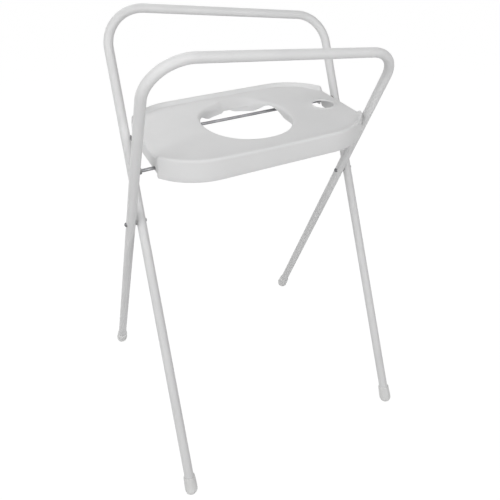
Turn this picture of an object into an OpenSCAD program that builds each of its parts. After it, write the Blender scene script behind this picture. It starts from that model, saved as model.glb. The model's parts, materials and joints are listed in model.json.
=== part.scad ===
// Folding baby bath stand: two crossed tube frames, a hinged tray on two rods, four foot caps.
// +X runs along the tray, +Y to the back, +Z up. The origin is on the floor under the middle.

/* [Tube frames] */
// Outside diameter of the frame tube
tube_d = 20; // [16:0.5:25]
// Wall thickness of the frame tube
tube_wall = 1.2; // [0.8:0.1:2]
// Distance between the leg axes of one frame
leg_spacing = 527.6; // [480:0.1:580]
// Leg length from the centre of the foot to the pivot
leg_low = 591.7; // [520:0.1:640]
// Leg length from the pivot to the left corner of the handle
leg_high_left = 456.1; // [430:0.1:500]
// Leg length from the pivot to the right corner of the handle
leg_high_right = 379.5; // [365:0.1:420]
// Radius of the handle bends, to the tube's centre line
bend_r = 77.5; // [55:0.5:95]
// How far a bend draws the tube's surfaces in
bend_draw = 0.03; // [0.02:0.01:0.1]
// Angle by which a bend laps into the straight tube on each side
bend_lap = 0.5; // [0.3:0.1:0.8]
// Angle of each leg to the vertical when the stand is open
leg_tilt = 23.84; // [20:0.01:26]

/* [Foot caps] */
// Diameter of the round end of a foot cap
foot_d = 28; // [26:0.5:30]
// Height of the round end's centre above the floor
foot_centre_h = 12; // [11:0.1:12.5]
// Length of a foot cap above that centre, along the leg
foot_sleeve = 25; // [20:0.5:35]
// Diameter of the foot cap at its upper rim
foot_rim_d = 23; // [22.5:0.1:28]
// Where the tube's end stops above that centre, along the leg
foot_seat = 3; // [0:0.5:8]
// Radial clearance between foot cap and tube
foot_clear = 0.1; // [0.05:0.05:0.3]

/* [Pivots] */
// Diameter of the pivot rivets
rivet_d = 5; // [4:0.5:6]
// Diameter of a rivet's domed head
rivet_head_d = 10; // [8:0.5:12]
// Height of a rivet's domed head
rivet_head_h = 4; // [2.5:0.1:4]
// Diameter of a rivet's closed end
rivet_tail_d = 8; // [7:0.5:10]
// Height of a rivet's closed end
rivet_tail_h = 2; // [1:0.1:3]
// Diameter of the washers between the tubes
washer_d = 12; // [10:0.5:16]
// Thickness of the washers
washer_t = 2.2; // [1:0.1:4]
// Play on each side of a washer
washer_play = 0.1; // [0.05:0.05:0.3]
// Radial running clearance of rivets and rods in their holes
run_clear = 0.05; // [0.02:0.01:0.1]

/* [Rods] */
// Diameter of the two tray rods
rod_d = 7; // [6:0.5:8]
// Distance of the rods from the pivot, along the legs
rod_up = 176; // [165:0.5:185]
// Length of rod that sits inside a leg, from the leg's face
rod_bite = 5; // [3:0.5:8]
// Diameter of the collars where the rods enter the legs
collar_d = 13; // [10:0.5:16]
// How far a collar stands proud of the leg
collar_h = 2; // [1:0.1:2.5]
// Clearance between a collar and the leg it hugs
collar_clear = 0.05; // [0.02:0.01:0.2]

/* [Tray] */
// Gap between each end of the tray and the nearest leg
tray_gap = 5.1; // [3:0.1:10]
// Width of the tray, front to back
tray_wid = 301; // [285:0.5:303]
// Place of the tray's middle across the stand
tray_y = 1.5; // [0:0.1:3]
// Width of the tray's left end wall
end_wid_left = 190; // [180:1:200]
// Width of the tray's right end wall, by the drain
end_wid_right = 164; // [160:1:190]
// Plan radius of the corners by the left end
corner_left = 131; // [110:1:135]
// Plan radius of the corners by the right end
corner_right = 135; // [110:1:138]
// Wall thickness of the tray
tray_wall = 3; // [2:0.1:3.5]
// Height of the tray's floor above the rods
floor_up = 25.3; // [24:0.1:30]
// Depth of the long skirts below the rods
skirt_drop = 11.2; // [9:0.1:14]
// Depth of the end walls below the rods
end_drop = 7.2; // [6:0.1:8.5]
// Radius on the tray's outer top edge
edge_r = 3; // [2:0.1:4]
// Height of the raised rim above the floor
rim_h = 7.3; // [4:0.1:9]
// Radius of the rim's crest
rim_r = 4; // [2.5:0.1:5]
// Width of the raised rim
rim_w = 15; // [11:0.5:20]
// How far the rim's foot stops short of the corners of the end walls
rim_stop = 12; // [8:1:20]
// Length of the slope at each end of the rim
rim_slope = 10; // [5:1:12]

/* [Tray ends] */
// Thickness of the end walls where the rods pass
end_wall = 6; // [5:0.1:8]
// How far the thick part and the step stop short of the corners of the end walls
end_inset = 4; // [2:0.5:8]
// Depth of the step in the outside of the end walls
end_step = 2; // [1:0.1:3]
// Height of the step above the rods
end_step_up = 6; // [5:0.5:12]
// Clearance between the back rod and its notch
notch_clear = 0.3; // [0.2:0.05:0.5]
// Slope of the notch's lead-in side from the vertical
notch_lead = 38; // [34:1:50]

/* [Basin opening] */
// Length of the large opening
open_len = 192; // [160:1:210]
// Width of the large opening
open_wid = 184; // [160:1:190]
// Corner radius of the large opening
open_corner = 78; // [40:1:79]
// Place of its centre along the tray
open_x = 1; // [-10:0.5:10]
// Place of its centre across the tray
open_y = 6; // [-5:0.5:8]
// Radius of its rolled edge
roll_r = 8; // [5:0.5:10]
// Depth of its flange below the tray's floor
flange_depth = 25; // [15:0.5:28]
// Room between the rods and the flange
flange_clear = 1.5; // [1:0.1:3]

/* [Drain hole] */
// Diameter of the drain hole
drain_d = 49; // [40:0.5:55]
// Place of the drain hole along the tray
drain_x = 191; // [180:0.5:195]
// Place of the drain hole across the tray
drain_y = 2; // [-10:0.5:10]
// Height of the ring round the drain hole
drain_ring_h = 1.2; // [0.5:0.1:2]
// Width of the ring round the drain hole
drain_ring_w = 5; // [3.5:0.1:7]

/* [Hidden] */
$fn = 96;
over = 1;                                   // how far a cutter runs past the face it cuts

tube_r = tube_d / 2;
rod_r = rod_d / 2;
rivet_r = rivet_d / 2;
foot_r = foot_d / 2;

// The frames stand side by side: a tube and a washer with its play apart.
tube_gap = washer_t + 2 * washer_play;
frame_shift = tube_d + tube_gap;
outer_x = (leg_spacing + frame_shift) / 2;  // axis of the outer leg on each side
inner_x = (leg_spacing - frame_shift) / 2;  // axis of the inner leg on each side
pivot_z = foot_centre_h + leg_low * cos(leg_tilt);

// Handle bar: it slopes down from the left corner to the right one.
bar_drop = leg_high_left - leg_high_right;
bar_slope = atan2(bar_drop, leg_spacing);
turn_left = 90 + bar_slope;
turn_right = 90 - bar_slope;
tangent_left = bend_r * tan(turn_left / 2);
tangent_right = bend_r * tan(turn_right / 2);
bar_len = norm([leg_spacing, bar_drop]) - tangent_left - tangent_right;
leg_start = foot_seat - leg_low;            // the tube's lower end, seen from the pivot

// Rods
rod_y = rod_up * sin(leg_tilt);
rod_z = pivot_z + rod_up * cos(leg_tilt);
rod_hole_r = rod_r + run_clear;

// Tray
tray_len = 2 * (inner_x - tube_r - tray_gap);
end_x = tray_len / 2;
floor_z = rod_z + floor_up;
skirt_h = floor_up + skirt_drop;
drain_r = drain_d / 2;
// Where the corner arcs start along the tray: each reaches its end wall at that wall's width.
arc_left = to_step(-end_x + arc_reach(corner_left, end_wid_left));
arc_right = to_step(end_x - arc_reach(corner_right, end_wid_right));

function to_step(v) = round(v * 20) / 20;
function arc_reach(r, end_wid) = sqrt(r * r - pow(r - (tray_wid - end_wid) / 2, 2));

// Places a frame's own plane: side is 1 for the frame with the front handle, -1 for the back one.
module place_frame(side) {
    translate([-side * frame_shift / 2, 0, pivot_z])
        rotate([side * leg_tilt, 0, 0])
            children();
}

// Section of the tube. A bend draws its surfaces in by a little.
module tube_section(draw = 0) {
    difference() {
        circle(r = tube_r - draw);
        circle(r = tube_r - tube_wall + draw);
    }
}

// Straight leg at the side x of the frame, with its rivet hole and the blind hole for its rod
module leg_tube(x, z_to) {
    translate([x, 0, 0])
        difference() {
            translate([0, 0, leg_start])
                linear_extrude(z_to - leg_start)
                    tube_section();
            translate([-tube_r - over, 0, 0])
                rotate([0, 90, 0])
                    cylinder(r = rivet_r + run_clear, h = tube_d + 2 * over);
            translate([x < 0 ? 0 : -tube_r - over, 0, rod_up])
                rotate([0, 90, 0])
                    cylinder(r = rod_hole_r, h = tube_r + over);
        }
}

// A bend in the frame's plane, from a start angle through a turn. It laps into the straight runs.
module bend_tube(x, z, start, turn) {
    translate([x, 0, z])
        rotate([90, 0, 0])
            rotate([0, 0, start - bend_lap])
                rotate_extrude(angle = turn + 2 * bend_lap)
                    translate([bend_r, 0])
                        tube_section(bend_draw);
}

// One inverted U: two legs, two bends and the sloping handle bar
module handle_frame(side) {
    left_top = leg_high_left - tangent_left;
    right_top = leg_high_right - tangent_right;
    half = leg_spacing / 2;
    place_frame(side) {
        leg_tube(-half, left_top);
        leg_tube(half, right_top);
        bend_tube(-half + bend_r, left_top, 180 - turn_left, turn_left);
        bend_tube(half - bend_r, right_top, 0, turn_right);
        translate([-half + bend_r + bend_r * sin(bar_slope), 0, left_top + bend_r * cos(bar_slope)])
            rotate([0, 90 + bar_slope, 0])
                linear_extrude(bar_len)
                    tube_section();
    }
}

module front_handle_frame() { color("whitesmoke") handle_frame(1); }
module back_handle_frame() { color("whitesmoke") handle_frame(-1); }

// Foot cap: a sleeve on the tube's end with a round sole, cut flat where it stands.
module foot(side, leg) {
    difference() {
        place_frame(side)
            translate([leg * leg_spacing / 2, 0, -leg_low])
                difference() {
                    union() {
                        cylinder(r1 = foot_r, r2 = foot_rim_d / 2, h = foot_sleeve);
                        sphere(r = foot_r);
                    }
                    translate([0, 0, foot_seat])
                        cylinder(r = tube_r + foot_clear, h = foot_sleeve);
                }
        translate([-outer_x - foot_d, -leg_low, -foot_d])
            cube([2 * outer_x + 2 * foot_d, 2 * leg_low, foot_d]);
    }
}

module front_left_foot() { color("gainsboro") foot(-1, -1); }
module front_right_foot() { color("gainsboro") foot(-1, 1); }
module back_left_foot() { color("gainsboro") foot(1, -1); }
module back_right_foot() { color("gainsboro") foot(1, 1); }

// Tray rod: it ends inside the two legs that carry it.
module rod(side) {
    rod_from = -leg_spacing / 2 + tube_r - rod_bite;
    place_frame(side)
        translate([rod_from, 0, rod_up])
            rotate([0, 90, 0])
                cylinder(r = rod_r, h = -2 * rod_from);
}

module front_rod() { color("darkgray") rod(1); }
module back_rod() { color("darkgray") rod(-1); }

// Collar round a rod where it enters a leg: it hugs the tube. The rod's leg is at leg * half.
module rod_collar(side, leg) {
    place_frame(side)
        translate([leg * leg_spacing / 2, 0, rod_up])
            rotate([0, -leg * 90, 0])
                difference() {
                    cylinder(d = collar_d, h = tube_r + collar_h);
                    translate([0, 0, -over])
                        cylinder(r = rod_hole_r, h = tube_r + collar_h + 2 * over);
                    translate([-collar_d, 0, 0])
                        rotate([0, 90, 0])
                            cylinder(r = tube_r + collar_clear, h = 2 * collar_d);
                }
}

module front_rod_left_collar() { color("dimgray") rod_collar(1, -1); }
module front_rod_right_collar() { color("dimgray") rod_collar(1, 1); }
module back_rod_left_collar() { color("dimgray") rod_collar(-1, -1); }
module back_rod_right_collar() { color("dimgray") rod_collar(-1, 1); }

// Pivot rivet: the domed head lies on the front-handle frame, the closed end on the other one.
module pivot_rivet(x_head) {
    grip = 2 * tube_d + tube_gap + washer_play;
    dome_r = (rivet_head_d * rivet_head_d / 4 + rivet_head_h * rivet_head_h) / (2 * rivet_head_h);
    translate([x_head, 0, pivot_z])
        rotate([0, 90, 0]) {
            translate([0, 0, -rivet_head_h / 2])
                cylinder(r = rivet_r, h = grip + rivet_head_h / 2 + rivet_tail_h / 2);
            intersection() {
                translate([0, 0, dome_r - rivet_head_h])
                    sphere(r = dome_r);
                translate([0, 0, -rivet_head_h])
                    cylinder(r = rivet_head_d / 2, h = rivet_head_h);
            }
            translate([0, 0, grip])
                cylinder(r1 = rivet_tail_d / 2, r2 = rivet_r, h = rivet_tail_h);
        }
}

module left_pivot_rivet() { color("dimgray") pivot_rivet(-outer_x - tube_r); }
module right_pivot_rivet() { color("dimgray") pivot_rivet(inner_x - tube_r); }

module pivot_washer(x_from) {
    translate([x_from + washer_play, 0, pivot_z])
        rotate([0, 90, 0])
            difference() {
                cylinder(d = washer_d, h = washer_t);
                translate([0, 0, -over])
                    cylinder(r = rivet_r + run_clear, h = washer_t + 2 * over);
            }
}

module left_pivot_washer() { color("dimgray") pivot_washer(-outer_x + tube_r); }
module right_pivot_washer() { color("dimgray") pivot_washer(inner_x + tube_r); }

// Rectangle with round corners, centred
module round_rect(len, wid, r) {
    square([len - 2 * r, wid], center = true);
    square([len, wid - 2 * r], center = true);
    for (x = [-1, 1], y = [-1, 1])
        translate([x * (len / 2 - r), y * (wid / 2 - r)])
            circle(r = r);
}

// Sweeps a section round a rectangle with round corners. The section's +X points outwards from
// the rectangle's outline, and its +Y points up.
module round_sweep(len, wid, r) {
    for (q = [0 : 3]) {
        half = q % 2 == 0 ? [len / 2 - r, wid / 2 - r] : [wid / 2 - r, len / 2 - r];
        rotate([0, 0, 90 * q]) {
            translate([half[0], half[1], 0])
                rotate_extrude(angle = 90)
                    translate([r, 0])
                        children();
            translate([half[0] + r, half[1], 0])
                rotate([90, 0, 0])
                    linear_extrude(2 * half[1])
                        children();
        }
    }
}

// Plan of the tray's floor: two wide corner arcs at each end, cut off by the end walls. It
// overlaps the strip that the edge has by a lap.
module floor_plan(inset) {
    intersection() {
        translate([0, tray_y])
            union() {
                translate([(arc_left + arc_right) / 2, 0])
                    square([arc_right - arc_left, tray_wid - 2 * inset], center = true);
                for (s = [-1, 1]) {
                    translate([arc_left, s * (tray_wid / 2 - corner_left)])
                        circle(r = corner_left - inset);
                    translate([arc_right, s * (tray_wid / 2 - corner_right)])
                        circle(r = corner_right - inset);
                }
            }
        square([tray_len, 2 * tray_wid], center = true);
    }
}

// The tray's edge: skirt, raised rim and a strip of floor. X = 0 is the outer face.
module edge_section() {
    translate([-rim_r, rim_h - rim_r])
        circle(r = rim_r);
    polygon([[0, -skirt_h], [0, rim_h - rim_r], [-rim_r, rim_h], [-rim_w, 0], [-rim_w - tray_wall, 0],
             [-rim_w - tray_wall, -tray_wall], [-tray_wall, -tray_wall], [-tray_wall, -skirt_h]]);
}

// Rolled edge and flange of the large opening: X = 0 is the flange's inner face.
module flange_section() {
    translate([roll_r, -roll_r])
        intersection() {
            difference() {
                circle(r = roll_r);
                circle(r = roll_r - tray_wall);
            }
            translate([-roll_r - over, 0])
                square([roll_r + over, roll_r + over]);
        }
    translate([0, -flange_depth])
        square([tray_wall, flange_depth - roll_r]);
}

// The edge runs along the long sides and round the corners to the end walls. Its rim stops
// short of the middle of each end, where the floor reaches the edge.
module edge() {
    difference() {
        intersection() {
            translate([0, tray_y, 0])
                for (m = [0, 1])
                    mirror([0, m, 0]) {
                        translate([arc_left, tray_wid / 2, 0])
                            rotate([90, 0, 90])
                                linear_extrude(arc_right - arc_left)
                                    edge_section();
                        translate([arc_left, tray_wid / 2 - corner_left, 0])
                            rotate([0, 0, 90])
                                rotate_extrude(angle = 90)
                                    translate([corner_left, 0])
                                        edge_section();
                        translate([arc_right, tray_wid / 2 - corner_right, 0])
                            rotate_extrude(angle = 90)
                                translate([corner_right, 0])
                                    edge_section();
                    }
            translate([-end_x, -tray_wid, -2 * skirt_h])
                cube([tray_len, 2 * tray_wid, 3 * skirt_h]);
        }
        rim_gap(-1, end_wid_left / 2 - rim_stop);
        rim_gap(1, end_wid_right / 2 - rim_stop);
    }
}

// Opening in the rim at one end, with sloping sides
module rim_gap(end, half) {
    reach = end_x - (end < 0 ? -arc_left : arc_right);
    translate([end < 0 ? -end_x - over : end_x - reach, tray_y, 0])
        rotate([90, 0, 90])
            linear_extrude(reach + over)
                polygon([[-half, 0], [half, 0], [half + rim_slope, rim_h + over], [-half - rim_slope, rim_h + over]]);
}

// A block at one end wall, from a depth below the floor to a height, reaching in from the wall
module end_block(end, deep, z_from, z_to, half, proud = 0) {
    translate([end < 0 ? -end_x - proud : end_x - deep, tray_y - half, z_from])
        cube([deep + proud, 2 * half, z_to - z_from]);
}

module flange() {
    difference() {
        translate([open_x, open_y, 0])
            round_sweep(open_len, open_wid, open_corner)
                flange_section();
        for (s = [-1, 1])
            translate([-end_x, s * rod_y - rod_r - flange_clear, -skirt_h - over])
                cube([tray_len, rod_d + 2 * flange_clear, skirt_h + over - floor_up + rod_r + flange_clear]);
    }
}

// Cut for the back rod, open downwards and towards the front so that the tray can lift off it.
module notch() {
    seat_r = rod_r + notch_clear;
    fall = skirt_drop + over;
    translate([-end_x - over, rod_y, -floor_up])
        rotate([90, 0, 90])
            linear_extrude(tray_len + 2 * over) {
                circle(r = seat_r);
                polygon([[seat_r, 0], [seat_r, -fall],
                         [-seat_r * cos(notch_lead) - (fall + seat_r * sin(notch_lead)) * tan(notch_lead), -fall],
                         [-seat_r * cos(notch_lead), seat_r * sin(notch_lead)]]);
            }
}

// Everything that an end wall needs: its thick part, or the cuts in it
module end_parts(cuts) {
    for (e = [[-1, end_wid_left], [1, end_wid_right]]) {
        half = e[1] / 2 - end_inset;
        if (cuts) {
            end_block(e[0], end_wall + over, -skirt_h - over, -floor_up - end_drop, half, over);
            end_block(e[0], end_step, -skirt_h - over, -floor_up + end_step_up, half, over);
            translate([e[0] * end_x, tray_y, 0])
                rotate([90, 0, 0])
                    linear_extrude(e[1], center = true)
                        difference() {
                            square(2 * edge_r, center = true);
                            translate([-e[0] * edge_r, -edge_r])
                                circle(r = edge_r);
                            translate([-e[0] * edge_r * 3 / 2, -edge_r / 2])
                                square([edge_r, edge_r + 2 * over], center = true);
                            translate([0, -edge_r * 3 / 2])
                                square([2 * edge_r + 2 * over, edge_r], center = true);
                        }
        } else {
            end_block(e[0], end_wall, -skirt_h, -tray_wall / 2, half);
        }
    }
}

module tray_body() {
    difference() {
        union() {
            edge();
            translate([0, 0, -tray_wall])
                linear_extrude(tray_wall)
                    difference() {
                        floor_plan(rim_w);
                        translate([open_x, open_y])
                            round_rect(open_len + 2 * roll_r, open_wid + 2 * roll_r, open_corner + roll_r);
                    }
            flange();
            end_parts(false);
            translate([drain_x, drain_y, -tray_wall])
                cylinder(r1 = drain_r + drain_ring_w + tray_wall, r2 = drain_r + drain_ring_w - drain_ring_h,
                         h = tray_wall + drain_ring_h);
        }
        // drain hole
        translate([drain_x, drain_y, -tray_wall - over])
            cylinder(r = drain_r, h = tray_wall + drain_ring_h + 2 * over);
        end_parts(true);
        // front rod
        translate([-end_x - over, -rod_y, -floor_up])
            rotate([0, 90, 0])
                cylinder(r = rod_hole_r, h = tray_len + 2 * over);
        notch();
    }
}

module tray() {
    color("white")
        translate([0, 0, floor_z])
            tray_body();
}

front_handle_frame();
back_handle_frame();
tray();
front_rod();
back_rod();
front_rod_left_collar();
front_rod_right_collar();
back_rod_left_collar();
back_rod_right_collar();
left_pivot_rivet();
right_pivot_rivet();
left_pivot_washer();
right_pivot_washer();
front_left_foot();
front_right_foot();
back_left_foot();
back_right_foot();
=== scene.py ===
import json
import math
import bpy
import bmesh
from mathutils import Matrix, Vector

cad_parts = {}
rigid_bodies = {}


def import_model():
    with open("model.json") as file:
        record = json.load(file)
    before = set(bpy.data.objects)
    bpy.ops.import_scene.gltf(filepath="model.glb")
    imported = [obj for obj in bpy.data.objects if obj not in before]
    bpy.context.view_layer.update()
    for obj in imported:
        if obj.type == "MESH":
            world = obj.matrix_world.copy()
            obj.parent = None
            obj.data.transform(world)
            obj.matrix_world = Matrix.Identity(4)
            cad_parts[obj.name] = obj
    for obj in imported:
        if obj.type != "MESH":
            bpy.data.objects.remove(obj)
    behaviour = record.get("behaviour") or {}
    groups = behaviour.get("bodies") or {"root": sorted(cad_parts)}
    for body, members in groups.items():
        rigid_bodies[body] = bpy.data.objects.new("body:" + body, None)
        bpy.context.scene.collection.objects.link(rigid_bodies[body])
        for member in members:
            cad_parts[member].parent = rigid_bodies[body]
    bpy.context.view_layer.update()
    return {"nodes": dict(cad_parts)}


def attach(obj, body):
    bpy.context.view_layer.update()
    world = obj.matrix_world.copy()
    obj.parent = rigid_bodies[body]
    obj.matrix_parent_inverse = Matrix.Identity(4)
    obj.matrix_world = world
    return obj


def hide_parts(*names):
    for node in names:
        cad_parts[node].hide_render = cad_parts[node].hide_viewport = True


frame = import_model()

scene = bpy.context.scene
scene.view_settings.view_transform = "Standard"


# small helpers

mergeGap = 1e-6  # in metres: mesh points closer than this become one


def mm(*v):
    return Vector([c / 1000 for c in v])  # drawings are in millimetres, Blender is in metres


def lerp(a, b, t):
    return a + (b - a) * t


def ease(t):
    t = min(max(t, 0.0), 1.0)
    return t * t * (3 - 2 * t)


def tableValue(table, at):
    # straight-line lookup in a list of (place, value)
    if at <= table[0][0]:
        return table[0][1]
    for (a, va), (b, vb) in zip(table, table[1:]):
        if at <= b:
            return lerp(va, vb, (at - a) / (b - a))
    return table[-1][1]


def addObject(name, mesh):
    obj = bpy.data.objects.new(name, mesh)
    scene.collection.objects.link(obj)
    return obj


def meshFrom(name, bm, sharpDegrees=None):
    # smooth shading, but edges that turn by more than this angle stay sharp
    mesh = bpy.data.meshes.new(name)
    bm.to_mesh(mesh)
    bm.free()
    mesh.shade_smooth()
    if sharpDegrees:
        mesh.set_sharp_from_angle(angle=math.radians(sharpDegrees))
    return mesh


def bakeModifiers(obj):
    # turns the evaluated result into a plain mesh and drops the modifiers
    graph = bpy.context.evaluated_depsgraph_get()
    graph.update()
    baked = bpy.data.meshes.new_from_object(obj.evaluated_get(graph))
    old = obj.data
    obj.modifiers.clear()
    if obj.type == "MESH":
        obj.data = baked
        return obj
    result = addObject(obj.name + "Mesh", baked)
    bpy.data.objects.remove(obj)
    if old.users == 0:
        bpy.data.batch_remove([old])
    return result


# the stand's own sizes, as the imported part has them

stand = {
    "tubeRadius": 10.0,
    "legSpacing": 527.6,
    "legLow": 591.7,
    "legHighLeft": 456.1,
    "legHighRight": 379.5,
    "bendRadius": 77.5,
    "legTilt": 23.84,
    "frameShift": 22.4,  # one tube and one washer with its play
    "footCentre": 12.0,
    "rodUp": 176.0,
    "floorUp": 25.3,
}
tilt = math.radians(stand["legTilt"])
pivotHeight = stand["footCentre"] + stand["legLow"] * math.cos(tilt)
rodOut = stand["rodUp"] * math.sin(tilt)
rodHeight = pivotHeight + stand["rodUp"] * math.cos(tilt)
trayFloor = rodHeight + stand["floorUp"]


def inFrame(side, x, y, z):
    # a point in the plane of a handle frame: side is 1 for the front handle, -1 for the back one
    a = side * tilt
    return mm(x - side * stand["frameShift"] / 2,
              y * math.cos(a) - z * math.sin(a),
              y * math.sin(a) + z * math.cos(a) + pivotHeight)


# camera

cameraSet = {
    "place": (-0.49647, -0.96288, 1.23725),
    "turn": (65.3163, -0.0701, -25.697),
    "lens": 39.898,
    "sensor": 36,
    "shift": (0.02936, -0.26175),
    "clip": (0.05, 60),
}
cameraData = bpy.data.cameras.new("photoCamera")
cameraData.sensor_width = cameraSet["sensor"]
cameraData.lens = cameraSet["lens"]
cameraData.shift_x, cameraData.shift_y = cameraSet["shift"]
cameraData.clip_start, cameraData.clip_end = cameraSet["clip"]
camera = addObject("photoCamera", cameraData)
camera.location = cameraSet["place"]
camera.rotation_euler = [math.radians(a) for a in cameraSet["turn"]]
scene.camera = camera
print("camera set")


# materials

noiseSpan = (0.3, 0.7)  # a noise texture's values hardly leave this span


def newMaterial(name):
    material = bpy.data.materials.new(name)
    material.use_nodes = True
    nodes = material.node_tree.nodes
    nodes.clear()
    output = nodes.new("ShaderNodeOutputMaterial")
    shader = nodes.new("ShaderNodeBsdfPrincipled")
    material.node_tree.links.new(shader.outputs["BSDF"], output.inputs["Surface"])
    return material, shader


def addNode(material, kind, **values):
    node = material.node_tree.nodes.new(kind)
    for key, value in values.items():
        if key in node.inputs:
            node.inputs[key].default_value = value
        else:
            setattr(node, key, value)
    return node


def join(material, a, outName, b, inName):
    material.node_tree.links.new(a.outputs[outName], b.inputs[inName])


def objectPlace(material, scale=(1, 1, 1)):
    place = addNode(material, "ShaderNodeTexCoord")
    mapping = addNode(material, "ShaderNodeMapping")
    mapping.inputs["Scale"].default_value = scale
    join(material, place, "Object", mapping, "Vector")
    return mapping


def noiseRamp(material, place, scale, detail, low, high):
    # noise spread between two colours
    noise = addNode(material, "ShaderNodeTexNoise", Scale=scale, Detail=detail)
    join(material, place, "Vector", noise, "Vector")
    ramp = addNode(material, "ShaderNodeValToRGB")
    for element, position, colour in zip(ramp.color_ramp.elements, noiseSpan, (low, high)):
        element.position = position
        element.color = (*colour, 1)
    join(material, noise, "Fac", ramp, "Fac")
    return ramp


def addBump(material, shader, source, outName, height, strength=1.0, before=None):
    bump = addNode(material, "ShaderNodeBump", Strength=strength, Distance=height)
    join(material, source, outName, bump, "Height")
    if before:
        join(material, before, "Normal", bump, "Normal")
    join(material, bump, "Normal", shader, "Normal")
    return bump


def roughnessNoise(material, shader, place, scale, low, high):
    noise = addNode(material, "ShaderNodeTexNoise", Scale=scale, Detail=3)
    join(material, place, "Vector", noise, "Vector")
    spread = addNode(material, "ShaderNodeMapRange")
    spread.inputs["From Min"].default_value, spread.inputs["From Max"].default_value = noiseSpan
    spread.inputs["To Min"].default_value = low
    spread.inputs["To Max"].default_value = high
    join(material, noise, "Fac", spread, "Value")
    join(material, spread, "Result", shader, "Roughness")


def powderCoat(look):
    # white baked coating: faint orange peel, slightly uneven gloss, a few duller patches
    material, shader = newMaterial("whitePowderCoat")
    place = objectPlace(material)
    ramp = noiseRamp(material, place, look["patchScale"], 3, look["dull"], look["clean"])
    join(material, ramp, "Color", shader, "Base Color")
    roughnessNoise(material, shader, place, look["glossScale"], *look["roughness"])
    peel = addNode(material, "ShaderNodeTexNoise", Scale=look["peelScale"], Detail=2)
    join(material, place, "Vector", peel, "Vector")
    addBump(material, shader, peel, "Fac", look["peelHeight"], 0.6)
    shader.inputs["Specular IOR Level"].default_value = look["specular"]
    shader.inputs["Coat Weight"].default_value = look["coat"]
    shader.inputs["Coat Roughness"].default_value = look["coatRoughness"]
    return material


def mouldedPlastic(name, look):
    # matt moulded plastic: fine spark-eroded grain over very shallow flow waves
    material, shader = newMaterial(name)
    place = objectPlace(material)
    ramp = noiseRamp(material, place, look["patchScale"], 4, look["dull"], look["clean"])
    join(material, ramp, "Color", shader, "Base Color")
    roughnessNoise(material, shader, place, look["glossScale"], *look["roughness"])
    wave = addNode(material, "ShaderNodeTexNoise", Scale=look["waveScale"], Detail=1)
    join(material, place, "Vector", wave, "Vector")
    flow = addBump(material, shader, wave, "Fac", look["waveHeight"], 0.5)
    grain = addNode(material, "ShaderNodeTexNoise", Scale=look["grainScale"], Detail=3)
    join(material, place, "Vector", grain, "Vector")
    addBump(material, shader, grain, "Fac", look["grainHeight"], 0.7, flow)
    shader.inputs["Specular IOR Level"].default_value = look["specular"]
    return material


def paintEnd(material, shader, place, ramp, look, paintedFrom):
    # past this place along X, in metres, the frame's white coat lies over the steel
    split = addNode(material, "ShaderNodeSeparateXYZ")
    join(material, place, "Vector", split, "Vector")
    past = addNode(material, "ShaderNodeMath", operation="GREATER_THAN")
    past.inputs[1].default_value = paintedFrom
    join(material, split, "X", past, 0)
    bare = addNode(material, "ShaderNodeMath", operation="SUBTRACT", use_clamp=True)
    bare.inputs[0].default_value = look["metallic"]
    join(material, past, 0, bare, 1)
    join(material, bare, 0, shader, "Metallic")
    coat = addNode(material, "ShaderNodeMix", data_type="RGBA")
    sockets = {socket.identifier: socket for socket in (*coat.inputs, *coat.outputs)}
    sockets["B_Color"].default_value = (*look["coat"], 1)
    link = material.node_tree.links.new
    link(past.outputs[0], sockets["Factor_Float"])
    link(ramp.outputs["Color"], sockets["A_Color"])
    link(sockets["Result_Color"], shader.inputs["Base Color"])


def drawnSteel(name, look, paintedFrom=None):
    # drawn or plated steel: fine lines along X, with a cloudy darker film
    material, shader = newMaterial(name)
    place = objectPlace(material)
    ramp = noiseRamp(material, place, look["patchScale"], 5, look["dull"], look["clean"])
    if paintedFrom is None:
        join(material, ramp, "Color", shader, "Base Color")
        shader.inputs["Metallic"].default_value = look["metallic"]
    else:
        paintEnd(material, shader, place, ramp, look, paintedFrom)
    roughnessNoise(material, shader, place, look["glossScale"], *look["roughness"])
    lined = objectPlace(material, look["lineStretch"])
    lines = addNode(material, "ShaderNodeTexNoise", Scale=look["lineScale"], Detail=2)
    join(material, lined, "Vector", lines, "Vector")
    addBump(material, shader, lines, "Fac", look["lineHeight"], 0.8)
    return material


frameCoat = powderCoat({
    "clean": (0.80, 0.80, 0.80), "dull": (0.77, 0.77, 0.773),
    "patchScale": 14, "glossScale": 45, "roughness": (0.46, 0.58),
    "peelScale": 420, "peelHeight": 0.00018, "specular": 0.4, "coat": 0.05, "coatRoughness": 0.25,
})
trayPlastic = mouldedPlastic("whiteTrayPlastic", {
    "clean": (0.80, 0.80, 0.80), "dull": (0.775, 0.775, 0.777),
    "patchScale": 9, "glossScale": 60, "roughness": (0.46, 0.58),
    "waveScale": 26, "waveHeight": 0.0006, "grainScale": 1500, "grainHeight": 0.00012, "specular": 0.4,
})
footPlastic = mouldedPlastic("whiteFootPlastic", {
    "clean": (0.82, 0.82, 0.815), "dull": (0.78, 0.78, 0.772),
    "patchScale": 40, "glossScale": 150, "roughness": (0.42, 0.55),
    "waveScale": 90, "waveHeight": 0.0003, "grainScale": 1800, "grainHeight": 0.0001, "specular": 0.45,
})
smallPartLook = {
    "patchScale": 120, "glossScale": 300, "roughness": (0.4, 0.55),
    "waveScale": 200, "waveHeight": 0.0002, "grainScale": 2200, "grainHeight": 0.0001, "specular": 0.4,
}
collarPlastic = mouldedPlastic("greyCollarPlastic", {
    "clean": (0.3, 0.3, 0.305), "dull": (0.22, 0.22, 0.225), **smallPartLook,
})
washerPlastic = mouldedPlastic("paleWasherPlastic", {
    "clean": (0.5, 0.5, 0.5), "dull": (0.42, 0.42, 0.42), **smallPartLook,
})
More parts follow.
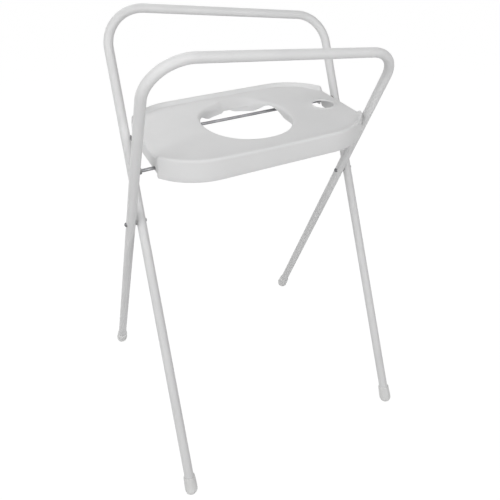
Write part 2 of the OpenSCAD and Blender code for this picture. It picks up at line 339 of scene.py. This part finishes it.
rodSteel = drawnSteel("drawnRodSteel", {
    "clean": (0.34, 0.34, 0.35), "dull": (0.2, 0.2, 0.21),
    "patchScale": 55, "glossScale": 160, "roughness": (0.34, 0.5),
    "lineStretch": (0.06, 1, 1), "lineScale": 900, "lineHeight": 0.00012, "metallic": 0.75,
})
rivetLook = {
    "clean": (0.2, 0.2, 0.21), "dull": (0.13, 0.13, 0.135), "coat": (0.75, 0.75, 0.75),
    "patchScale": 260, "glossScale": 400, "roughness": (0.3, 0.45),
    "lineStretch": (1, 1, 1), "lineScale": 1600, "lineHeight": 0.00008, "metallic": 0.8,
    # where the painted ends start along X
    "closedEnds": {"left_pivot_rivet": -0.2425, "right_pivot_rivet": 0.285},
}
print("materials made")


def dressNode(nodeName, material):
    # a CAD node keeps its mesh and gets its finish
    data = frame["nodes"][nodeName].data
    data.materials.clear()
    data.materials.append(material)


# handle frames: one tube swept along its centre line

tubeSet = {"bendSteps": 40, "ringPoints": 64, "endInset": 3.0, "sharpDegrees": 50}


def frameLine(side):
    # centre line of one frame, from the left foot over the handle bar to the right foot
    half = stand["legSpacing"] / 2
    drop = stand["legHighLeft"] - stand["legHighRight"]
    slope = math.atan2(drop, stand["legSpacing"])
    r = stand["bendRadius"]
    turnLeft, turnRight = math.pi / 2 + slope, math.pi / 2 - slope
    topLeft = stand["legHighLeft"] - r * math.tan(turnLeft / 2)
    topRight = stand["legHighRight"] - r * math.tan(turnRight / 2)
    low = -stand["legLow"] + tubeSet["endInset"]
    steps = tubeSet["bendSteps"]
    points = [(-half, low), (-half, 0)]
    for i in range(steps + 1):
        a = math.pi - turnLeft * i / steps
        points.append((-half + r + r * math.cos(a), topLeft + r * math.sin(a)))
    for i in range(steps + 1):
        a = turnRight * (1 - i / steps)
        points.append((half - r + r * math.cos(a), topRight + r * math.sin(a)))
    points += [(half, 0), (half, low)]
    return [inFrame(side, x, 0, z) for x, z in points]


def tubeTree(material):
    # inputs: tube radius and how many points its ring has
    tree = bpy.data.node_groups.new("sweepTube", "GeometryNodeTree")
    face = tree.interface
    face.new_socket("Line", in_out="INPUT", socket_type="NodeSocketGeometry")
    radius = face.new_socket("Tube radius", in_out="INPUT", socket_type="NodeSocketFloat")
    points = face.new_socket("Ring points", in_out="INPUT", socket_type="NodeSocketInt")
    face.new_socket("Tube", in_out="OUTPUT", socket_type="NodeSocketGeometry")
    new, link = tree.nodes.new, tree.links.new
    start, end = new("NodeGroupInput"), new("NodeGroupOutput")
    ring = new("GeometryNodeCurvePrimitiveCircle")
    sweep = new("GeometryNodeCurveToMesh")
    sweep.inputs["Fill Caps"].default_value = True
    smooth = new("GeometryNodeSetShadeSmooth")
    real = new("GeometryNodeRealizeInstances")
    paint = new("GeometryNodeSetMaterial")
    paint.inputs["Material"].default_value = material
    link(start.outputs["Tube radius"], ring.inputs["Radius"])
    link(start.outputs["Ring points"], ring.inputs["Resolution"])
    link(start.outputs["Line"], sweep.inputs["Curve"])
    link(ring.outputs["Curve"], sweep.inputs["Profile Curve"])
    link(sweep.outputs["Mesh"], smooth.inputs["Geometry"])
    link(smooth.outputs["Geometry"], real.inputs["Geometry"])
    link(real.outputs["Geometry"], paint.inputs["Geometry"])
    link(paint.outputs["Geometry"], end.inputs["Tube"])
    return tree, radius.identifier, points.identifier


def lineCurve(name, points):
    data = bpy.data.curves.new(name, "CURVE")
    data.dimensions = "3D"
    spline = data.splines.new("POLY")
    spline.points.add(len(points) - 1)
    for p, co in zip(spline.points, points):
        p.co = (*co, 1)
    return addObject(name, data)


def sweepTube(name, points, radius, ringPoints, material):
    tree, radiusId, pointsId = tubeTree(material)
    line = lineCurve(name + "Line", points)
    sweep = line.modifiers.new("sweep", "NODES")
    sweep.node_group = tree
    sweep[radiusId] = radius / 1000
    sweep[pointsId] = ringPoints
    tube = bakeModifiers(line)
    tube.name = name
    tube.data.name = name
    bm = bmesh.new()
    bm.from_mesh(tube.data)
    bmesh.ops.recalc_face_normals(bm, faces=bm.faces)
    bm.to_mesh(tube.data)
    bm.free()
    tube.data.set_sharp_from_angle(angle=math.radians(tubeSet["sharpDegrees"]))
    return tube


for side, nodeName, body in ((1, "front_handle_frame", "front_frame"),
                             (-1, "back_handle_frame", "back_frame")):
    tube = sweepTube(nodeName.replace("_", "-"), frameLine(side), stand["tubeRadius"],
                     tubeSet["ringPoints"], frameCoat)
    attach(tube, body)
    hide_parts(nodeName)
print("handle frames swept")


# foot caps: turned profile, cut flat on the floor

footSet = {
    "radius": 13.7, "sleeve": 25.0, "rimRadius": 12.6, "bore": 10.05, "lip": 1.0, "turnSteps": 56,
    "bottom": 2.3,  # 2 is a ball, more is fuller
    "plug": 3.2, "shoulder": 0.6,  # heights where the bore ends and the taper starts
    "taperSteps": 9, "swell": 0.35,  # a swell of 0 is a straight taper
    "ballDegrees": range(6, 90, 6), "lipDegrees": (30, 60, 90), "sharpDegrees": 40,
}


def lathe(profile, steps):
    # closed surface of revolution round Z from (radius, height) points; a radius of 0 is a pole
    bm = bmesh.new()
    turns = [2 * math.pi * i / steps for i in range(steps)]
    rings = []
    for r, z in profile:
        if r == 0:
            rings.append([bm.verts.new((0, 0, z))])
        else:
            rings.append([bm.verts.new((r * math.cos(a), r * math.sin(a), z)) for a in turns])
    for a, b in zip(rings, rings[1:]):
        for i in range(steps):
            j = (i + 1) % steps
            if len(a) == 1:
                bm.faces.new((a[0], b[i], b[j]))
            elif len(b) == 1:
                bm.faces.new((a[i], b[0], a[j]))
            else:
                bm.faces.new((a[i], b[i], b[j], a[j]))
    return bm


def footProfile():
    # radius and height from the bottom up, over the rim and down the bore
    f = footSet
    r, top, rim, lip = f["radius"], f["sleeve"], f["rimRadius"], f["lip"]
    power = 2 / f["bottom"]
    points = [(0, -r)]
    for degrees in f["ballDegrees"]:
        a = math.radians(degrees)
        points.append((r * math.sin(a) ** power, -r * math.cos(a) ** power))
    points.append((r, 0))
    for i in range(1, f["taperSteps"] + 1):
        t = i / f["taperSteps"]
        points.append((lerp(r, rim, lerp(t, ease(t), f["swell"])), lerp(f["shoulder"], top - lip, t)))
    for degrees in f["lipDegrees"]:
        a = math.radians(degrees)
        points.append((rim - lip * (1 - math.cos(a)), top - lip * (1 - math.sin(a))))
    points += [(f["bore"], top), (f["bore"], f["plug"]), (0, f["plug"])]
    return points


def footCap(name, side, leg):
    bm = lathe(footProfile(), footSet["turnSteps"])
    half = stand["legSpacing"] / 2
    for v in bm.verts:
        v.co = inFrame(side, v.co.x + leg * half, v.co.y, v.co.z - stand["legLow"])
    cut = bmesh.ops.bisect_plane(bm, geom=bm.verts[:] + bm.edges[:] + bm.faces[:], dist=mergeGap,
                                 plane_co=(0, 0, 0), plane_no=(0, 0, -1), clear_outer=True)
    rim = [e for e in cut["geom_cut"] if isinstance(e, bmesh.types.BMEdge)]
    bmesh.ops.contextual_create(bm, geom=rim)
    bmesh.ops.recalc_face_normals(bm, faces=bm.faces)
    cap = addObject(name, meshFrom(name, bm, footSet["sharpDegrees"]))
    cap.data.materials.append(footPlastic)
    return cap


for nodeName, side, leg, body in (("front_left_foot", -1, -1, "back_frame"),
                                  ("front_right_foot", -1, 1, "back_frame"),
                                  ("back_left_foot", 1, -1, "front_frame"),
                                  ("back_right_foot", 1, 1, "front_frame")):
    cap = footCap(nodeName.replace("_", "-"), side, leg)
    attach(cap, body)
    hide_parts(nodeName)
print("foot caps turned")


# tray: one skin that runs round the whole section at each place of the outline

traySet = {
    "length": 475.0, "width": 301.0,
    "middle": 1.5,  # where its middle line lies along Y
    "sharpDegrees": 38,
    "arcLeft": -130.45, "arcRight": 120.0, "cornerLeft": 131.0, "cornerRight": 135.0,
    "fillet": 5.0, "filletBackLeft": 80.0, "wall": 3.0, "endWall": 6.0, "skirt": 36.5, "endEdge": 4.5,
    "rimHeight": 7.3, "rimCrest": 5.0, "rimFoot": 12.5,
    "riseBack": 2.0, "riseFrontLeft": 2.8, "riseLength": 150.0,  # how much higher the rim stands there
    "rimEndLeft": 83.0, "rimEndRight": 70.0, "rimSlope": 10.0,  # where the rim runs out beside the end walls
    "counts": (20, 7, 40, 34),  # places in a quarter: end line, corner, arc, long side
    "endBunch": 1.5, "leastRound": 1.2,
    "skirtEdge": ((0.9, 0.0), (0.25, 0.25), (0.0, 0.9)),  # inset and height over the skirt's lower edge
    "sideShares": (0.25, 0.5, 0.75, 0.92),
    "topInsets": (0.0, 0.12, 0.4, 0.8, 1.3, 2.0, 2.8, 3.5, 4.2, 5.2, 6.5, 8, 9.5, 11, 12.5, 14, 16, 19),
    "undersideInsets": (19, 10, 6.2), "innerHeights": (-12, -24),
    "innerFoot": 0.5,  # how far over the skirt's lower edge the inner wall ends
}
openingSet = {
    "x": -2.0, "y": 6.0, "halfRight": 94.5, "halfLeft": 98.0, "halfFront": 96.5, "halfBack": 92.0,
    "roundFront": 2.08, "roundBack": 2.5,  # 2 is an ellipse, more is squarer
    "skew": 6.0,  # how far the front edge's middle lies to the right
    "widenFrom": -0.4, "widenSpan": 0.8,  # sines of the angle over which the left side widens to the back
    "rollDrop": 6.0, "slideDrop": 15.0, "slide": 0.6, "lip": 2.6,
    # roll widths at which the edge turns into a slide, and at which it reaches deeper
    "slideFrom": 8.0, "slideSpan": 14.0, "dropFrom": 6.0, "dropSpan": 20.0,
    "leastFlange": 1.0, "edgeRound": 0.5,
    "underDrop": 2.5, "underLeast": 0.3,  # how much lower the roll's underside ends
    "floorShares": (0.66, 0.33, 0.1), "rollSteps": 12, "flangeShares": (0.3, 0.65, 1.0),
    "backShares": (0.0, 0.5, 1.0), "underShares": (0.8, 0.6, 0.4, 0.2, 0.0),
    # width of the rolled edge by the angle round the opening, in degrees: behind, it is a wide slide
    "roll": [(-180, 7), (-90, 6), (-23, 6), (0, 9), (45, 10), (62, 20), (77, 25), (94, 23), (100, 20),
             (105, 14), (115, 12), (128, 9), (147, 7), (180, 7)],
    # depth of the flange's lower edge, with a notch over each end of the two rods
    "depth": [(-180, 21), (-150, 21), (-141, 18), (-135, 10), (-126, 10), (-120, 18), (-112, 21),
              (-68, 21), (-60, 18), (-54, 10), (-45, 8), (-39, 8), (-34, 11.3), (-24, 14.8), (-12, 18.8),
              (-2, 20.2), (3, 19), (15, 12.5), (21, 10), (27, 6.6), (33, 6.3), (39, 10), (45, 17.2),
              (51, 23.5), (55, 26), (63, 26.2), (81, 23.4), (85, 20.5), (88, 17.7), (98, 17.7),
              (101, 22.5), (108, 23.8), (122, 25.6), (127, 23), (135, 14.2), (141, 10), (151, 10),
              (157, 5), (162, 5), (170, 14), (178, 21)],
}


def quarterLine(sx, sy, inset):
    # plan of a quarter of the tray, from the middle of an end to the middle of a long side
    s = traySet
    end = s["length"] / 2 - inset
    arcX = s["arcRight"] if sx > 0 else -s["arcLeft"]
    corner = s["cornerRight"] if sx > 0 else s["cornerLeft"]
    radius, centreY = corner - inset, s["width"] / 2 - corner
    fillet = s["filletBackLeft"] if sx < 0 < sy else s["fillet"]
    rho = max(fillet - inset, s["leastRound"])
    fx = end - rho
    fy = centreY + math.sqrt((radius - rho) ** 2 - (fx - arcX) ** 2)
    touch = math.atan2(fy - centreY, fx - arcX)  # where the corner meets the arc
    nLine, nFillet, nArc, nTop = s["counts"]
    points = [(end, fy * (1 - (1 - i / nLine) ** s["endBunch"])) for i in range(nLine)]
    for i in range(nFillet):
        a = touch * i / nFillet
        points.append((fx + rho * math.cos(a), fy + rho * math.sin(a)))
    for i in range(nArc):
        a = lerp(touch, math.pi / 2, i / nArc)
        points.append((arcX + radius * math.cos(a), centreY + radius * math.sin(a)))
    points += [(arcX * (1 - i / nTop), s["width"] / 2 - inset) for i in range(nTop + 1)]
    return [(sx * x, s["middle"] + sy * y) for x, y in points]


def outline(inset):
    # the whole plan, anticlockwise from the middle of the right end
    a = quarterLine(1, 1, inset)
    b = quarterLine(-1, 1, inset)[::-1]
    c = quarterLine(-1, -1, inset)
    d = quarterLine(1, -1, inset)[::-1]
    return a[:-1] + b[:-1] + c[:-1] + d[:-1]


def insetFromSides(x, y):
    # distance in from the long sides and the wide arcs, whatever the end walls cut off
    s = traySet
    y = abs(y - s["middle"])
    right = x > 0
    arcX = s["arcRight"] if right else s["arcLeft"]
    radius = s["cornerRight"] if right else s["cornerLeft"]
    beyond = (x - arcX) if right else (arcX - x)
    centreY = s["width"] / 2 - radius
    if beyond <= 0:
        return s["width"] / 2 - y
    if y <= centreY:
        return radius - beyond
    return radius - math.hypot(beyond, y - centreY)


def rimTop(x, y):
    # the rim's height: higher along the back, and rising along the front towards the left
    s = traySet
    if y > s["middle"]:
        return s["rimHeight"] + s["riseBack"]
    return s["rimHeight"] + s["riseFrontLeft"] * ease(-x / s["riseLength"])


def topHeight(x, y):
    # rim, floor and the rounded upper edge of the end walls
    s = traySet
    d = insetFromSides(x, y)
    crest, height = s["rimCrest"], rimTop(x, y)
    if d < crest:
        z = height - crest + math.sqrt(max(crest ** 2 - (crest - max(d, 0)) ** 2, 0))
    else:
        z = height * (1 - ease((d - crest) / (s["rimFoot"] - crest)))
    if x > s["arcRight"] or x < s["arcLeft"]:
        ends = s["rimEndRight"] if x > 0 else s["rimEndLeft"]
        z = min(z, height * ease((abs(y - s["middle"]) - ends) / s["rimSlope"]))
    edge = s["endEdge"]
    e = s["length"] / 2 - abs(x)
    if e < edge:
        z -= edge - math.sqrt(max(edge ** 2 - (edge - max(e, 0)) ** 2, 0))
    return z


def openingPoint(angle, out):
    # point of the opening's wall at this angle round its centre, moved outwards
    s = openingSet
    c, n = math.cos(angle), math.sin(angle)
    widened = ease((n - s["widenFrom"]) / s["widenSpan"])
    half = s["halfRight"] if c > 0 else lerp(s["halfRight"], s["halfLeft"], widened)
    if n < 0:
        deep, power = s["halfFront"], s["roundFront"]
    else:
        deep, power = s["halfBack"], s["roundBack"]
    r = (abs(c / half) ** power + abs(n / deep) ** power) ** (-1 / power) + out
    return s["x"] + c * r + s["skew"] * min(n, 0) ** 2, s["y"] + n * r


def rollPlace(angle, roll, depth, t, lip=0.0, wall=0.0):
    # from the floor (t = 0) over the rolled edge to the flange (t = 1), or below it with lip and wall
    o = openingSet
    flat = o["slide"] * ease((roll - o["slideFrom"]) / o["slideSpan"])
    turn = math.radians(90 * t)
    outward = lerp(1 - math.sin(turn), 1 - t, flat)
    down = lerp(1 - math.cos(turn), t, flat)
    drop = flangeTop(roll, depth)
    if wall:
        slack = max(depth - o["leastFlange"] - drop, 0)
        drop += min(o["underDrop"], o["underLeast"] + slack)
    return (*openingPoint(angle, lip + (roll - lip) * outward), -wall - (drop - wall) * down)


def flangeTop(roll, depth):
    # how deep the rolled edge ends and the upright flange starts
    o = openingSet
    slope = max(roll - o["dropFrom"], 0) / o["dropSpan"]
    return min(lerp(o["rollDrop"], o["slideDrop"], slope), depth - o["leastFlange"])


def outerRings():
    # up the outer wall from the skirt's lower edge, over the rim and in across the floor
    s = traySet
    low = -s["skirt"]
    rings = [[(x, y, low + up) for x, y in outline(inset)] for inset, up in s["skirtEdge"]]
    base = outline(0.0)
    tops = [topHeight(x, y) for x, y in base]
    start = low + s["skirtEdge"][-1][1]
    for t in s["sideShares"]:
        rings.append([(x, y, lerp(start, z, t)) for (x, y), z in zip(base, tops)])
    for inset in s["topInsets"]:
        rings.append([(x, y, topHeight(x, y)) for x, y in outline(inset)])
    return rings


def openingRings(last):
    # from the floor's last ring over the rolled edge, down the flange and back up behind both
    o, wall = openingSet, traySet["wall"]
    lip, edge = o["lip"], o["edgeRound"]
    inner = []  # angle, width of the roll and depth of the flange at each place
    for x, y, z in last:
        a = math.atan2(y - o["y"], x - o["x"])
        degrees = math.degrees(a)
        inner.append((a, tableValue(o["roll"], degrees), tableValue(o["depth"], degrees)))
    starts = [openingPoint(a, roll) for a, roll, depth in inner]
    rings = []
    for share in o["floorShares"]:
        rings.append([(lerp(px, x, share), lerp(py, y, share), 0.0)
                      for (px, py), (x, y, z) in zip(starts, last)])
    for i in range(o["rollSteps"] + 1):
        rings.append([rollPlace(a, roll, depth, i / o["rollSteps"]) for a, roll, depth in inner])
    for t in o["flangeShares"]:
        rings.append([(*openingPoint(a, 0), lerp(-flangeTop(roll, depth), edge - depth, t))
                      for a, roll, depth in inner])
    for out in (edge, lip - edge):
        rings.append([(*openingPoint(a, out), -depth) for a, roll, depth in inner])
    backTops = [rollPlace(a, roll, depth, 1, lip, wall)[2] for a, roll, depth in inner]
    for t in o["backShares"]:
        rings.append([(*openingPoint(a, lip), lerp(edge - depth, z, t))
                      for (a, roll, depth), z in zip(inner, backTops)])
    for t in o["underShares"]:
        rings.append([rollPlace(a, roll, depth, t, lip, wall) for a, roll, depth in inner])
    return rings


def insideRings():
    # out along the floor's underside and down the inner wall, which is thicker behind the end walls
    s = traySet
    wall = s["wall"]
    rings = [[(x, y, -wall) for x, y in outline(inset)] for inset in s["undersideInsets"]]
    reach = s["length"] / 2 - s["endWall"]
    wallLine = [(math.copysign(min(abs(x), reach), x), y) for x, y in outline(wall)]
    for z in (-wall, *s["innerHeights"], s["innerFoot"] - s["skirt"]):
        rings.append([(x, y, z) for x, y in wallLine])
    return rings


def traySkin():
    outer = outerRings()
    rings = outer + openingRings(outer[-1]) + insideRings()
    bm = bmesh.new()
    grid = [[bm.verts.new(mm(x, y, z + trayFloor)) for x, y, z in ring] for ring in rings]
    n = len(grid[0])
    for a, b in zip(grid, grid[1:] + grid[:1]):
        for i in range(n):
            j = (i + 1) % n
            bm.faces.new((a[i], a[j], b[j], b[i]))
    bmesh.ops.remove_doubles(bm, verts=bm.verts, dist=mergeGap)
    bmesh.ops.recalc_face_normals(bm, faces=bm.faces)
    return bm


tray = addObject("tray-skin", meshFrom("tray-skin", traySkin()))
print("tray skin:", len(tray.data.polygons), "faces")


# cuts in the tray: lower edge and step of the end walls, rod hole, rod notch

cutSet = {
    "endFront": (91.0, 78.0), "endBack": (62.0, 78.0),  # left and right, from the tray's middle line
    "endDrop": (7.2, 14.0), "step": 2.0, "stepUp": 6.0,
    "rodHole": 3.55, "holeSteps": 32,
    "notchRadius": 3.8, "notchLead": 38.0, "notchSteps": 28, "skirtDrop": 11.2,
    "pastEnd": 2.0, "pastWall": 1.0, "pastLow": 3.0,  # how far the cutters reach beyond what they cut
}


def boxMesh(bm, spans):
    # box between two places along each of the three axes
    made = bmesh.ops.create_cube(bm, size=1)
    for v in made["verts"]:
        x, y, z = [lerp(low, high, c + 0.5) for (low, high), c in zip(spans, v.co)]
        v.co = mm(x, y, z + trayFloor)


def prismMesh(bm, outlineYZ, x0, x1):
    ends = [[bm.verts.new(mm(x, y, z + trayFloor)) for y, z in outlineYZ] for x in (x0, x1)]
    n = len(outlineYZ)
    for i in range(n):
        j = (i + 1) % n
        bm.faces.new((ends[0][i], ends[0][j], ends[1][j], ends[1][i]))
    bm.faces.new(ends[0][::-1])
    bm.faces.new(ends[1])


def cutters():
    # each cutter is its own mesh, so that none of them crosses another
    c, s = cutSet, traySet
    end, low, rodZ = s["length"] / 2, -s["skirt"] - c["pastLow"], -stand["floorUp"]
    mid, pastEnd = s["middle"], s["length"] / 2 + c["pastEnd"]
    made = []
    for sx, front, back, drop in zip((-1, 1), c["endFront"], c["endBack"], c["endDrop"]):
        for deep, top in ((s["endWall"] + c["pastWall"], rodZ - drop), (c["step"], rodZ + c["stepUp"])):
            bm = bmesh.new()
            boxMesh(bm, (sorted((sx * pastEnd, sx * (end - deep))), (mid - front, mid + back), (low, top)))
            made.append(bm)
    hole = []
    for i in range(c["holeSteps"]):
        a = math.radians(360 * i / c["holeSteps"])
        hole.append((-rodOut + c["rodHole"] * math.cos(a), rodZ + c["rodHole"] * math.sin(a)))
    seat, fall, lead = c["notchRadius"], c["skirtDrop"] + c["pastLow"], math.radians(c["notchLead"])
    notch = []
    for i in range(c["notchSteps"] + 1):
        a = math.radians(lerp(0, 180 + c["notchLead"], i / c["notchSteps"]))
        notch.append((rodOut + seat * math.cos(a), rodZ + seat * math.sin(a)))
    notch += [(rodOut - seat * math.cos(lead) - (fall - seat * math.sin(lead)) * math.tan(lead), rodZ - fall),
              (rodOut + seat, rodZ - fall)]
    for shape in (hole, notch):
        bm = bmesh.new()
        prismMesh(bm, shape, -pastEnd, pastEnd)
        made.append(bm)
    return made


def carve(obj, bm, how="DIFFERENCE"):
    bmesh.ops.recalc_face_normals(bm, faces=bm.faces)
    tool = addObject("cutTool", meshFrom("cutTool", bm))
    cut = obj.modifiers.new("cut", "BOOLEAN")
    cut.operation, cut.solver, cut.object = how, "EXACT", tool
    bakeModifiers(obj)
    bpy.data.objects.remove(tool)


for bm in cutters():
    carve(tray, bm)


# drain hole: a cut a little wider than the hole, then the hole's edge with its low raised ring

drainSet = {
    "x": 191.0, "y": 2.0, "radius": 24.5, "depth": 3.0, "ringHeight": 1.2, "ringWidth": 5.0,
    "cutWider": 1.5, "cutReach": 30.0, "turnSteps": 96,
}


def drainLathe(profile):
    bm = lathe(profile, drainSet["turnSteps"])
    for v in bm.verts:
        v.co = mm(v.co.x + drainSet["x"], v.co.y + drainSet["y"], v.co.z + trayFloor)
    bmesh.ops.remove_doubles(bm, verts=bm.verts, dist=mergeGap)
    return bm


def drainCutter():
    r, reach = drainSet["radius"] + drainSet["cutWider"], drainSet["cutReach"]
    return drainLathe([(0, -reach), (r, -reach), (r, reach), (0, reach)])


def drainRing():
    r, top, out = drainSet["radius"], drainSet["ringHeight"], drainSet["radius"] + drainSet["ringWidth"]
    low = -drainSet["depth"]
    # up the hole's wall, over the ring, and back under it inside the floor
    profile = [(r, low + 0.6), (r, -1.4), (r, -0.6), (r + 0.15, top - 0.9), (r + 0.5, top - 0.35),
               (r + 1.1, top - 0.05), (r + 1.9, top), (out - 1.8, top - 0.1), (out - 0.9, top - 0.5),
               (out - 0.3, top - 1.0), (out + 0.6, -0.1), (out + 0.6, -1.6), (r + 2.6, low - 0.2),
               (r + 0.6, low - 0.2), (r + 0.2, low + 0.1)]
    return drainLathe(profile + profile[:1])


def closeSeams(obj):
    # the cuts can leave a hair-thin open seam where three faces meet
    bm = bmesh.new()
    bm.from_mesh(obj.data)
    bmesh.ops.remove_doubles(bm, verts=bm.verts, dist=2 * mergeGap)
    bmesh.ops.holes_fill(bm, edges=[e for e in bm.edges if e.is_boundary], sides=0)
    bm.to_mesh(obj.data)
    bm.free()


carve(tray, drainCutter())
carve(tray, drainRing(), "UNION")
closeSeams(tray)
tray.data.shade_smooth()
tray.data.set_sharp_from_angle(angle=math.radians(traySet["sharpDegrees"]))
tray.data.materials.clear()
tray.data.materials.append(trayPlastic)
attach(tray, "tray_body")
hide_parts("tray")
print("tray cut:", len(tray.data.polygons), "faces")


# small CAD pieces keep their shape

for nodeName in ("front_rod", "back_rod"):
    dressNode(nodeName, rodSteel)
for nodeName, paintedFrom in rivetLook["closedEnds"].items():
    dressNode(nodeName, drawnSteel(nodeName.replace("_", "-") + "-steel", rivetLook, paintedFrom))
for nodeName in ("left_pivot_washer", "right_pivot_washer"):
    dressNode(nodeName, washerPlastic)
for nodeName in ("front_rod_left_collar", "front_rod_right_collar",
                 "back_rod_left_collar", "back_rod_right_collar"):
    dressNode(nodeName, collarPlastic)
print("rods, rivets, washers and collars finished")


# floor, world and lamps

stageSet = {
    "size": 14.0, "floorColour": (0.8, 0.8, 0.8), "glow": 1.06, "glowShare": 0.93,
    "ambient": 0.2, "seen": 1.0,
}


def viewerRay(tree):
    # 1 for what the camera, a reflection or a refraction sees
    path = tree.nodes.new("ShaderNodeLightPath")
    first = tree.nodes.new("ShaderNodeMath")
    second = tree.nodes.new("ShaderNodeMath")
    first.operation = second.operation = "MAXIMUM"
    tree.links.new(path.outputs["Is Camera Ray"], first.inputs[0])
    tree.links.new(path.outputs["Is Glossy Ray"], first.inputs[1])
    tree.links.new(first.outputs[0], second.inputs[0])
    tree.links.new(path.outputs["Is Transmission Ray"], second.inputs[1])
    return second


def paleFloor():
    # matt under the lamps, nearly even white to the viewer
    material = bpy.data.materials.new("paleFloor")
    material.use_nodes = True
    tree = material.node_tree
    tree.nodes.clear()
    output = tree.nodes.new("ShaderNodeOutputMaterial")
    matt = tree.nodes.new("ShaderNodeBsdfDiffuse")
    matt.inputs["Color"].default_value = (*stageSet["floorColour"], 1)
    glow = tree.nodes.new("ShaderNodeEmission")
    glow.inputs["Color"].default_value = (1, 1, 1, 1)
    glow.inputs["Strength"].default_value = stageSet["glow"]
    share = tree.nodes.new("ShaderNodeMath")
    share.operation = "MULTIPLY"
    share.inputs[1].default_value = stageSet["glowShare"]
    mix = tree.nodes.new("ShaderNodeMixShader")
    tree.links.new(viewerRay(tree).outputs[0], share.inputs[0])
    tree.links.new(share.outputs[0], mix.inputs["Fac"])
    tree.links.new(matt.outputs["BSDF"], mix.inputs[1])
    tree.links.new(glow.outputs["Emission"], mix.inputs[2])
    tree.links.new(mix.outputs["Shader"], output.inputs["Surface"])
    return material


bm = bmesh.new()
bmesh.ops.create_grid(bm, x_segments=1, y_segments=1, size=stageSet["size"] / 2)
floor = addObject("floor", meshFrom("floor", bm))
floor.data.materials.append(paleFloor())


def paleRoom():
    # white behind the stand, dim as a light on it
    world = bpy.data.worlds.new("paleRoom")
    world.use_nodes = True
    tree = world.node_tree
    tree.nodes.clear()
    output = tree.nodes.new("ShaderNodeOutputWorld")
    mix = tree.nodes.new("ShaderNodeMixShader")
    tree.links.new(viewerRay(tree).outputs[0], mix.inputs["Fac"])
    for strength, socket in ((stageSet["ambient"], mix.inputs[1]), (stageSet["seen"], mix.inputs[2])):
        light = tree.nodes.new("ShaderNodeBackground")
        light.inputs["Color"].default_value = (1, 1, 1, 1)
        light.inputs["Strength"].default_value = strength
        tree.links.new(light.outputs["Background"], socket)
    tree.links.new(mix.outputs["Shader"], output.inputs["Surface"])
    return world


scene.world = paleRoom()

lampSet = [
    {"name": "softHighLeft", "place": (-1.7, -0.8, 2.4), "aim": (0, 0, 0.9), "size": 1.4, "power": 19.0},
    {"name": "softLeft", "place": (-1.8, -0.8, 1.1), "aim": (0, 0, 0.7), "size": 1.5, "power": 5.2},
    {"name": "softFront", "place": (0.25, -1.8, 1.6), "aim": (0.1, 0, 0.95), "size": 1.3, "power": 16.5},
    {"name": "softBack", "place": (0.0, 1.3, 1.9), "aim": (0, 0, 0.7), "size": 1.5, "power": 9.2},
    {"name": "lowBack", "place": (-1.2, 1.0, 0.5), "aim": (0, 0, 0.5), "size": 1.0, "power": 1.9},
]
for lamp in lampSet:
    data = bpy.data.lights.new(lamp["name"], "AREA")
    data.shape = "DISK"
    data.size = lamp["size"]
    data.energy = lamp["power"]
    obj = addObject(lamp["name"], data)
    obj.location = lamp["place"]
    obj.rotation_euler = (Vector(lamp["aim"]) - Vector(lamp["place"])).to_track_quat("-Z", "Y").to_euler()
print("floor, world and lamps set")
